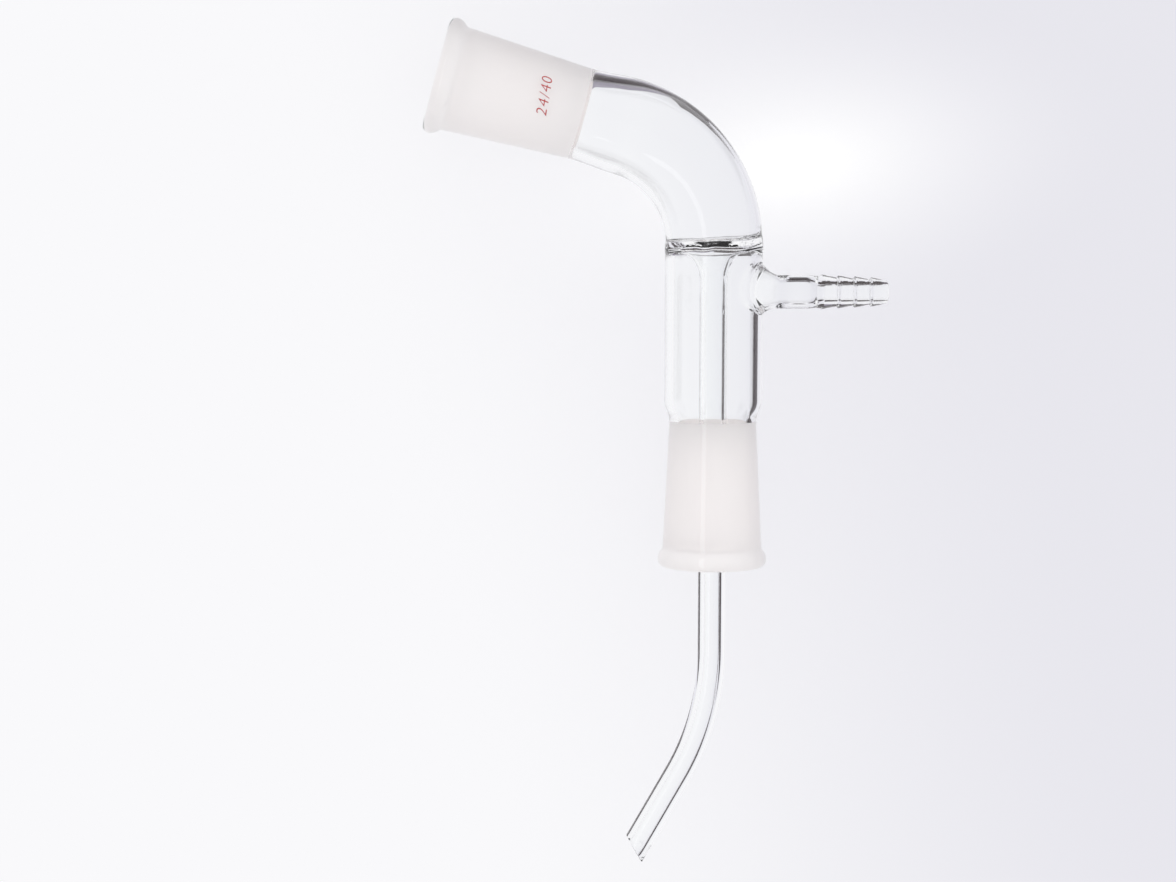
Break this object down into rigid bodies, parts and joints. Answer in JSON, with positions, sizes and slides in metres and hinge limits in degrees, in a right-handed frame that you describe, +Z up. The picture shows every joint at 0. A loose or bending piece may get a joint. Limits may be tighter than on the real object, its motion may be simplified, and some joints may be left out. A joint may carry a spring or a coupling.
{
  "type": "vacuum take-off adapter",
  "caption": "Bent glass adapter with tapered ground sockets at both ends, a drip tube sealed inside a vacuum jacket and a serrated hose arm.",
  "frame": {"origin": "centre of the lower socket's mouth, on its axis; the adapter lies on its side and its mirror plane is level", "axes": "+Y up the lower socket and the jacket, towards the bend; +X along the hose arm; +Z up from the bench"},
  "size_m": [0.132, 0.2398, 0.033],
  "materials": {
    "borosilicate": "clear and fire-polished, with the two sockets ground to a fine white frost"
  },
  "bodies": {
    "root": {"glass_adapter": "borosilicate"}
  },
  "joints": []
}
